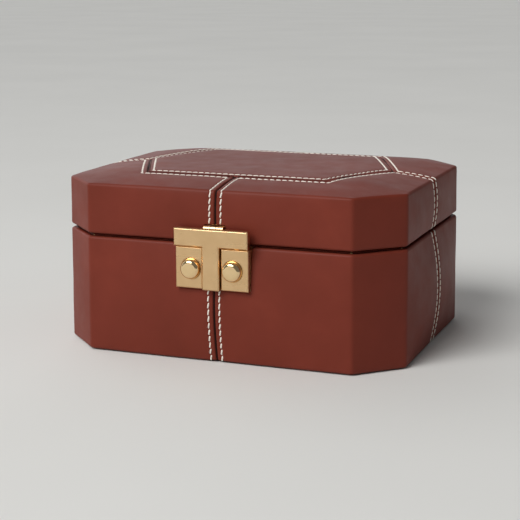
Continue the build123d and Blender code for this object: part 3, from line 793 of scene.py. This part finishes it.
def build_rims():
    """Leather turned over both wooden rims, down to the lining."""
    lining = WOOD_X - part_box("base_lining_floor")[1].x
    outside, inside = COVER - 0.15 * MM, COVER + lining + 0.12 * MM
    s = np.linspace(0, PERIMETER, 360, endpoint=False)[:, None]
    for body, side in (("base", -1), ("lid", 1)):
        face, shoulder, foot = (SPLIT + side * d * MM for d in (0.12, 0.26, 1.2))
        profile = [(outside, foot - side * 0.25 * MM), (outside, shoulder), (outside + 0.5 * MM, face),
                   (inside - 0.6 * MM, face), (inside - 0.1 * MM, shoulder + side * 0.1 * MM), (inside, foot)]
        inset, z = np.array(profile).T
        grid = with_height(section(s, inset[None], 0.0), z)
        band = grid_object(f"{body}_rim_binding", grid, wrap_columns=True)
        cut(band, HINGE_CUTS)
        finish_piece(band, body, LEATHER)


# ---- metal ----
def smooth_cad(node, material, bevel=0.0):
    """Gives a CAD node its material and smooth shading, with small rounds on its edges."""
    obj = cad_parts[node]
    obj.data.materials.clear()
    obj.data.materials.append(material)
    obj.data.polygons.foreach_set("use_smooth", [True] * len(obj.data.polygons))
    if bevel:
        round_edges(obj, bevel, 30)


def build_metal():
    for node in ("hasp_plate", "lock_plate_left", "lock_plate_right"):
        smooth_cad(node, SATIN, 0.22 * MM)
    for node in ("hasp_tongue", "lock_case", "hasp_bracket", "latch_bolt_left", "latch_bolt_right"):
        smooth_cad(node, SATIN, 0.1 * MM)
    for node in ("hinge_pins", "hinge_screws_base", "hinge_screws_lid", "lock_case_screws",
                 "hasp_bracket_screws", "hasp_hinge_pin"):
        smooth_cad(node, PLATED, 0.08 * MM)
    for side, outward in (("left", -1), ("right", 1)):
        for half in ("base", "lid"):
            smooth_cad(f"hinge_leaf_{half}_{side}", SATIN, 0.12 * MM)
        button(side)
        coil_spring(side, outward)


def button(side):
    """A polished stud: flat middle, round shoulder, straight skirt, and the shaft and cone behind it."""
    low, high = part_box(f"button_{side}")
    centre = (low + high) / 2
    radius = (high.x - low.x) / 2
    flat = BUTTON_FLAT * radius
    skirt_end, shaft_end, cone_start, cone_end = (low.y + d * MM for d in (4.8, 7.4, 8.0, 9.8))
    shaft_r, cone_r, tip_r = 2.0 * MM, 3.0 * MM, 1.2 * MM
    profile = [(flat * 0.5, low.y + 0.02 * MM), (flat * 0.9, low.y + 0.05 * MM)]
    for a in np.radians(np.linspace(8, 86, 14)):
        profile.append((flat + (radius - flat) * math.sin(a), low.y + BUTTON_DOME * (1 - math.cos(a))))
    profile += [(radius, low.y + BUTTON_DOME + 0.3 * MM), (radius, skirt_end),
                (shaft_r, skirt_end), (shaft_r, shaft_end),
                (cone_r, shaft_end), (cone_r, cone_start), (tip_r, cone_end), (tip_r, high.y)]
    r, y = np.array(profile).T[..., None]
    turn = np.linspace(0, 2 * math.pi, 64, endpoint=False)
    grid = np.stack(np.broadcast_arrays(centre.x + r * np.cos(turn), y, centre.z + r * np.sin(turn)), -1)
    made = grid_object(f"stud_{side}", grid)
    made.data.set_sharp_from_angle(angle=math.radians(40))
    finish_piece(made, f"button_{side}", POLISHED, [f"button_{side}"])


def coil_spring(side, outward):
    """The spring behind a latch bolt, made at one fixed length; the real one shortens towards the end of the
    lock case as the bolt slides.
    """
    low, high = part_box(f"bolt_spring_{side}")
    middle, length = (low + high) / 2, high.x - low.x
    turn = np.linspace(0, 2 * math.pi * SPRING_TURNS, 28 * SPRING_TURNS)[:, None]
    around = np.linspace(0, 2 * math.pi, 10, endpoint=False)[None]
    coil_r = (high.z - low.z) / 2 - SPRING_WIRE_R
    rise = (length - 2 * SPRING_WIRE_R) / turn.max()
    slope = math.atan2(rise, coil_r)
    radius = coil_r + SPRING_WIRE_R * np.cos(around)
    across = SPRING_WIRE_R * np.sin(around)
    x = rise * (turn - turn.max() / 2) + across * math.cos(slope)
    angle = turn - across * math.sin(slope) / coil_r
    y, z = radius * np.cos(angle), radius * np.sin(angle)
    grid = np.stack(np.broadcast_arrays(middle.x + outward * x, middle.y + y, middle.z + z), -1)
    spring = grid_object(f"coil_spring_{side}", grid)
    finish_piece(spring, "base", PLATED, [f"bolt_spring_{side}"])
    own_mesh(spring)


# ---- boards and lining ----
def build_boards():
    for node in ("base_lining_walls", "base_lining_floor", "base_divider_left", "base_divider_right",
                 "tray_ledges", "lid_lining_walls", "lid_lining_panel", "tray_frame", "tray_floor",
                 "tray_divider_long", "tray_dividers_cross"):
        smooth_cad(node, SUEDE, 0.35 * MM)
    for node in ("base_board", "base_wall_front", "base_wall_back", "base_wall_left", "base_wall_right",
                 "base_corner_walls", "lid_top_board", "lid_wall_front", "lid_wall_back", "lid_wall_left",
                 "lid_wall_right", "lid_corner_walls"):
        smooth_cad(node, WOOD)
    # Seam strips: dark edge-dyed leather, with painted shade of the deep groove in their colour.
    for node in ("base_seam_strips", "lid_seam_strips"):
        smooth_cad(node, SEAM_STRIP_PAINTED_SHADE)
    # The underlay's dark colour is partly painted shade for the shadow line along the foot.
    smooth_cad("base_underlay", FOOT_SUEDE_AND_SHADE)


def build_mirror():
    """The mirror with a ground edge and a narrow leather piping round it."""
    smooth_cad("mirror", MIRROR, 0.6 * MM)
    low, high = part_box("mirror")
    x, y, cut_off = high.x, high.y, MIRROR_CORNER
    corners = [(x - cut_off, -y), (x, -y + cut_off), (x, y - cut_off), (x - cut_off, y),
               (-x + cut_off, y), (-x, y - cut_off), (-x, -y + cut_off), (-x + cut_off, -y)]
    curve = bpy.data.curves.new("mirror_piping", "CURVE")
    curve.dimensions = "3D"
    curve.bevel_depth = PIPING_R
    curve.bevel_resolution = 4
    line = curve.splines.new("POLY")
    line.points.add(len(corners) - 1)
    for point, corner in zip(line.points, corners):
        point.co = (*corner, low.z + PIPING_R / 2, 1)
    line.use_cyclic_u = True
    piping = bpy.data.objects.new("mirror_piping", curve)
    bpy.context.scene.collection.objects.link(piping)
    finish_piece(piping, "lid", LEATHER)


# ---- tray ----
def build_ring_rolls():
    """Padded rolls side by side, with a slot for rings between each two."""
    low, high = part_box("ring_rolls")
    pitch = (high.y - low.y - 2 * ROLL_R) / (ROLLS - 1)
    for i in range(ROLLS):
        roll = grid_object(f"ring_roll_{i + 1}", roll_grid(low, high, low.y + ROLL_R + i * pitch))
        finish_piece(roll, "tray", PAD_SUEDE, ["ring_rolls"])


def roll_grid(low, high, middle):
    """A roll along X: round over the top, flatter flanks, rounded off at both ends."""
    ends = np.array([0, 0.15, 0.5, 1.0, 1.7, 2.5, 3.4, 4.5, 6.0]) * MM
    x = np.concatenate([low.x + ends, np.linspace(low.x, high.x, 30)[3:-3], high.x - ends[::-1]])[:, None]
    end = np.minimum(x - low.x, high.x - x)
    drawn = np.sqrt(1 - (1 - np.minimum(end / ROLL_DRAWN, 1)) ** 2)
    size = (0.42 + 0.57 * drawn) * (1 + 0.008 * np.sin(x / (5 * MM) + 40 * middle / MM))
    turn = np.linspace(0, 2 * math.pi, 40, endpoint=False)[None]
    side, up = np.cos(turn), np.sin(turn)
    centre = high.z - ROLL_R
    square = np.where(up < 0, 0.4, 1.0)
    y = middle + ROLL_R * size * np.sign(side) * abs(side) ** square
    z = centre + np.where(up < 0, centre - low.z, ROLL_R * size) * np.sign(up) * abs(up) ** square
    return np.stack(np.broadcast_arrays(x, y, z), -1)


def build_tabs():
    """Doubled ribbons that stand up at both ends of the tray."""
    low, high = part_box("tray_pull_tabs")
    fold = [(0.0, low.z), (0.0, high.z - 0.5 * MM), (0.15 * MM, high.z - 0.15 * MM), (0.5 * MM, high.z),
            (0.85 * MM, high.z - 0.15 * MM), (1.0 * MM, high.z - 0.5 * MM), (1.0 * MM, low.z)]
    inward, z = np.array(fold).T[:, None]
    share = np.linspace(-1, 1, 13)[:, None]
    y = share * (high.y - low.y) / 2
    z = z - TAB_DROP * abs(share) ** 6 * (z > (low.z + high.z) / 2)
    for name, side in (("left", -1), ("right", 1)):
        grid = np.stack(np.broadcast_arrays(side * (high.x - inward), y, z), -1)
        tab = grid_object(f"pull_tab_{name}", grid)
        finish_piece(tab, "tray", RIBBON, ["tray_pull_tabs"])


# ---- studio ----
def add_light(name, kind, energy):
    light = bpy.data.objects.new(name, bpy.data.lights.new(name, kind))
    light.data.energy = energy
    light.rotation_euler = KEY_FROM.to_track_quat("Z", "Y").to_euler()
    bpy.context.scene.collection.objects.link(light)
    return light


def build_stage():
    """Pale cloth-covered floor and two soft lights from the front left, one of them near."""
    corners = [(x * FLOOR_REACH, y * FLOOR_REACH, 0) for x, y in ((-1, -1), (1, -1), (1, 1), (-1, 1))]
    floor = new_object("floor", corners, [(0, 1, 2, 3)], smooth=False)
    cloth = Finish("pale_floor", Specular_IOR_Level=0.1)
    cloth.colours(cloth.noise(3), (0.3, linear(224, 223, 219)), (0.7, linear(228, 227, 223)))
    cloth.roughness(cloth.noise(40), 0.85, 0.95)
    floor.data.materials.append(cloth.relief(cloth.noise(900), 0.00015, 0.3).material)
    add_light("key", "SUN", KEY_STRENGTH).data.angle = KEY_SPREAD
    lamp = add_light("near_lamp", "AREA", LAMP_POWER)
    lamp.data.shape = "DISK"
    lamp.data.size = LAMP_SIZE
    lamp.location = KEY_FROM * LAMP_AWAY


def build_room():
    """A dim grey room that is brighter behind the case, which gives the top its sheen."""
    world = bpy.data.worlds.new("studio")
    world.use_nodes = True
    tree = world.node_tree
    background = tree.nodes["Background"]
    background.inputs["Color"].default_value = (0.97, 0.985, 1.0, 1)
    direction = tree.nodes.new("ShaderNodeTexCoord").outputs["Generated"]
    towards = tree.nodes.new("ShaderNodeVectorMath")
    towards.operation = "DOT_PRODUCT"
    towards.inputs[1].default_value = BRIGHT_SIDE
    tree.links.new(direction, towards.inputs[0])
    level = tree.nodes.new("ShaderNodeMapRange")
    level.inputs["From Min"].default_value = BRIGHT_FROM
    level.inputs["To Min"].default_value, level.inputs["To Max"].default_value = WALLS
    tree.links.new(towards.outputs["Value"], level.inputs["Value"])
    tree.links.new(level.outputs["Result"], background.inputs["Strength"])
    bpy.context.scene.world = world


def build_camera():
    camera = bpy.data.objects.new("camera", bpy.data.cameras.new("camera"))
    camera.data.sensor_width = 36
    camera.data.lens = CAMERA_LENS
    camera.data.shift_x, camera.data.shift_y = CAMERA_SHIFT
    camera.data.clip_start = 0.05
    camera.data.clip_end = 100
    camera.location = CAMERA_AT
    camera.rotation_euler = [math.radians(a) for a in CAMERA_TURN]
    bpy.context.scene.collection.objects.link(camera)
    bpy.context.scene.camera = camera
    bpy.context.scene.view_settings.view_transform = "Standard"


build_leather()
build_rims()
build_metal()
build_boards()
build_mirror()
build_ring_rolls()
build_tabs()
build_stage()
build_room()
build_camera()
